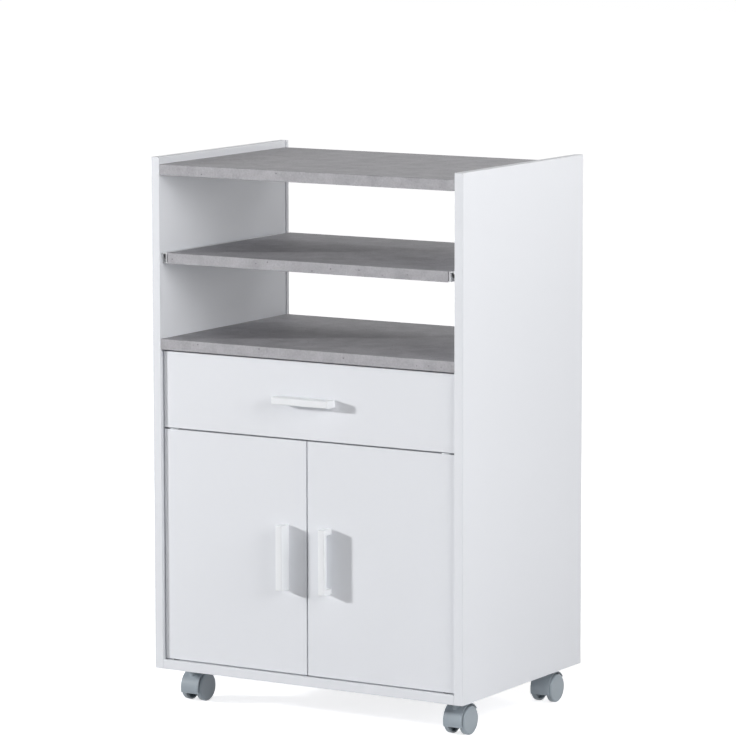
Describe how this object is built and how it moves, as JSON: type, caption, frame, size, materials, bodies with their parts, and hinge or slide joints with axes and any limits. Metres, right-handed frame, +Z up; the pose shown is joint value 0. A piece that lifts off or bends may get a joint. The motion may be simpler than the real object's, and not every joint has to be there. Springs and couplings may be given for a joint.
{
  "type": "microwave cart",
  "caption": "Kitchen cart for a microwave: white cabinet with doors and a drawer under open bays, grey shelves of which the middle one pulls out, swivel casters.",
  "frame": {"origin": "on the floor, in the middle of the box round the whole cart with its handles", "axes": "+Z up along the cart's height, +X to the right seen from the front, +Y from the front to the back"},
  "size_m": [0.595, 0.417, 0.922],
  "materials": {
    "white_board": "white melamine-faced chipboard, satin",
    "grey_board": "cement-grey melamine-faced chipboard, matt",
    "hardboard": "white-faced hardboard",
    "white_handle": "white plastic, satin",
    "white_steel": "white powder coat",
    "zinc_steel": "bright zinc plate",
    "nylon": "white nylon",
    "caster_plastic": "blue-grey nylon, satin",
    "beech": "bare beech"
  },
  "bodies": {
    "carcass": {"left_side_panel": "white_board", "right_side_panel": "white_board", "top_shelf": "grey_board", "lower_shelf": "grey_board", "base_panel": "white_board", "back_panel": "hardboard", "front_rail": "white_board", "cam_bolts": "zinc_steel", "cam_locks": "zinc_steel", "dowels": "beech", "carcass_screws": "zinc_steel", "shelf_fixed_runners": "white_steel", "drawer_fixed_runners": "white_steel", "door_pivot_plates": "zinc_steel", "door_pivot_pins": "zinc_steel", "magnetic_catch": "nylon", "caster_plates": "zinc_steel", "caster_king_pins": "zinc_steel"},
    "pull_out_shelf": {"pull_out_shelf": "grey_board", "shelf_moving_runners": "white_steel", "shelf_runner_screws": "zinc_steel"},
    "shelf_front_rollers": {"shelf_front_rollers": "nylon"},
    "shelf_rear_rollers": {"shelf_rear_rollers": "nylon"},
    "drawer": {"drawer_front": "white_board", "drawer_side_left": "white_board", "drawer_side_right": "white_board", "drawer_back": "white_board", "drawer_bottom": "hardboard", "drawer_handle": "white_handle", "drawer_moving_runners": "white_steel", "drawer_screws": "zinc_steel", "drawer_dowels": "beech"},
    "drawer_front_rollers": {"drawer_front_rollers": "nylon"},
    "drawer_rear_rollers": {"drawer_rear_rollers": "nylon"},
    "left_door": {"left_door": "white_board", "left_door_handle": "white_handle", "left_door_handle_screws": "zinc_steel", "left_door_pivot_bushes": "nylon", "left_door_strike_plate": "zinc_steel"},
    "right_door": {"right_door": "white_board", "right_door_handle": "white_handle", "right_door_handle_screws": "zinc_steel", "right_door_pivot_bushes": "nylon", "right_door_strike_plate": "zinc_steel"},
    "front_left_caster": {"front_left_caster_hood": "caster_plastic", "front_left_caster_axle": "zinc_steel"},
    "front_left_caster_left_wheel": {"front_left_caster_left_wheel": "caster_plastic"},
    "front_left_caster_right_wheel": {"front_left_caster_right_wheel": "caster_plastic"},
    "front_right_caster": {"front_right_caster_hood": "caster_plastic", "front_right_caster_axle": "zinc_steel"},
    "front_right_caster_left_wheel": {"front_right_caster_left_wheel": "caster_plastic"},
    "front_right_caster_right_wheel": {"front_right_caster_right_wheel": "caster_plastic"},
    "rear_left_caster": {"rear_left_caster_hood": "caster_plastic", "rear_left_caster_axle": "zinc_steel"},
    "rear_left_caster_left_wheel": {"rear_left_caster_left_wheel": "caster_plastic"},
    "rear_left_caster_right_wheel": {"rear_left_caster_right_wheel": "caster_plastic"},
    "rear_right_caster": {"rear_right_caster_hood": "caster_plastic", "rear_right_caster_axle": "zinc_steel"},
    "rear_right_caster_left_wheel": {"rear_right_caster_left_wheel": "caster_plastic"},
    "rear_right_caster_right_wheel": {"rear_right_caster_right_wheel": "caster_plastic"}
  },
  "joints": [
    {"name": "shelf_slide", "type": "slide", "parent": "carcass", "child": "pull_out_shelf", "axis": [0, -1, 0], "range_m": [0, 0.24]},
    {"name": "drawer_slide", "type": "slide", "parent": "carcass", "child": "drawer", "axis": [0, -1, 0], "range_m": [0, 0.25]},
    {"name": "shelf_front_rollers_spin", "type": "hinge", "parent": "carcass", "child": "shelf_front_rollers", "pos_m": [0, -0.1785, 0.75725], "axis": [1, 0, 0], "continuous": true},
    {"name": "shelf_rear_rollers_spin", "type": "hinge", "parent": "pull_out_shelf", "child": "shelf_rear_rollers", "pos_m": [0, 0.1545, 0.75125], "axis": [1, 0, 0], "continuous": true},
    {"name": "drawer_front_rollers_spin", "type": "hinge", "parent": "carcass", "child": "drawer_front_rollers", "pos_m": [0, -0.1585, 0.50275], "axis": [1, 0, 0], "continuous": true},
    {"name": "drawer_rear_rollers_spin", "type": "hinge", "parent": "drawer", "child": "drawer_rear_rollers", "pos_m": [0, 0.174, 0.49675], "axis": [1, 0, 0], "continuous": true},
    {"name": "left_door_hinge", "type": "hinge", "parent": "carcass", "child": "left_door", "pos_m": [-0.2613, -0.1775, 0.0797], "axis": [0, 0, -1], "range_deg": [0, 110]},
    {"name": "right_door_hinge", "type": "hinge", "parent": "carcass", "child": "right_door", "pos_m": [0.2613, -0.1775, 0.0797], "axis": [0, 0, 1], "range_deg": [0, 110]},
    {"name": "front_left_caster_swivel", "type": "hinge", "parent": "carcass", "child": "front_left_caster", "pos_m": [-0.2555, -0.1375, 0.0573], "axis": [0, 0, 1], "continuous": true},
    {"name": "front_left_caster_left_wheel_spin", "type": "hinge", "parent": "front_left_caster", "child": "front_left_caster_left_wheel", "pos_m": [-0.27075, -0.124, 0.024], "axis": [1, 0, 0], "continuous": true},
    {"name": "front_left_caster_right_wheel_spin", "type": "hinge", "parent": "front_left_caster", "child": "front_left_caster_right_wheel", "pos_m": [-0.24025, -0.124, 0.024], "axis": [1, 0, 0], "continuous": true},
    {"name": "front_right_caster_swivel", "type": "hinge", "parent": "carcass", "child": "front_right_caster", "pos_m": [0.2555, -0.1375, 0.0573], "axis": [0, 0, 1], "continuous": true},
    {"name": "front_right_caster_left_wheel_spin", "type": "hinge", "parent": "front_right_caster", "child": "front_right_caster_left_wheel", "pos_m": [0.24025, -0.124, 0.024], "axis": [1, 0, 0], "continuous": true},
    {"name": "front_right_caster_right_wheel_spin", "type": "hinge", "parent": "front_right_caster", "child": "front_right_caster_right_wheel", "pos_m": [0.27075, -0.124, 0.024], "axis": [1, 0, 0], "continuous": true},
    {"name": "rear_left_caster_swivel", "type": "hinge", "parent": "carcass", "child": "rear_left_caster", "pos_m": [-0.2555, 0.1545, 0.0573], "axis": [0, 0, 1], "continuous": true},
    {"name": "rear_left_caster_left_wheel_spin", "type": "hinge", "parent": "rear_left_caster", "child": "rear_left_caster_left_wheel", "pos_m": [-0.27075, 0.168, 0.024], "axis": [1, 0, 0], "continuous": true},
    {"name": "rear_left_caster_right_wheel_spin", "type": "hinge", "parent": "rear_left_caster", "child": "rear_left_caster_right_wheel", "pos_m": [-0.24025, 0.168, 0.024], "axis": [1, 0, 0], "continuous": true},
    {"name": "rear_right_caster_swivel", "type": "hinge", "parent": "carcass", "child": "rear_right_caster", "pos_m": [0.2555, 0.1545, 0.0573], "axis": [0, 0, 1], "continuous": true},
    {"name": "rear_right_caster_left_wheel_spin", "type": "hinge", "parent": "rear_right_caster", "child": "rear_right_caster_left_wheel", "pos_m": [0.24025, 0.168, 0.024], "axis": [1, 0, 0], "continuous": true},
    {"name": "rear_right_caster_right_wheel_spin", "type": "hinge", "parent": "rear_right_caster", "child": "rear_right_caster_right_wheel", "pos_m": [0.27075, 0.168, 0.024], "axis": [1, 0, 0], "continuous": true}
  ],
  "couplings": [
    {"joint": "shelf_front_rollers_spin", "follows": "shelf_slide", "rad_per_m": 200},
    {"joint": "shelf_rear_rollers_spin", "follows": "shelf_slide", "rad_per_m": 200},
    {"joint": "drawer_front_rollers_spin", "follows": "drawer_slide", "rad_per_m": 200},
    {"joint": "drawer_rear_rollers_spin", "follows": "drawer_slide", "rad_per_m": 200}
  ]
}
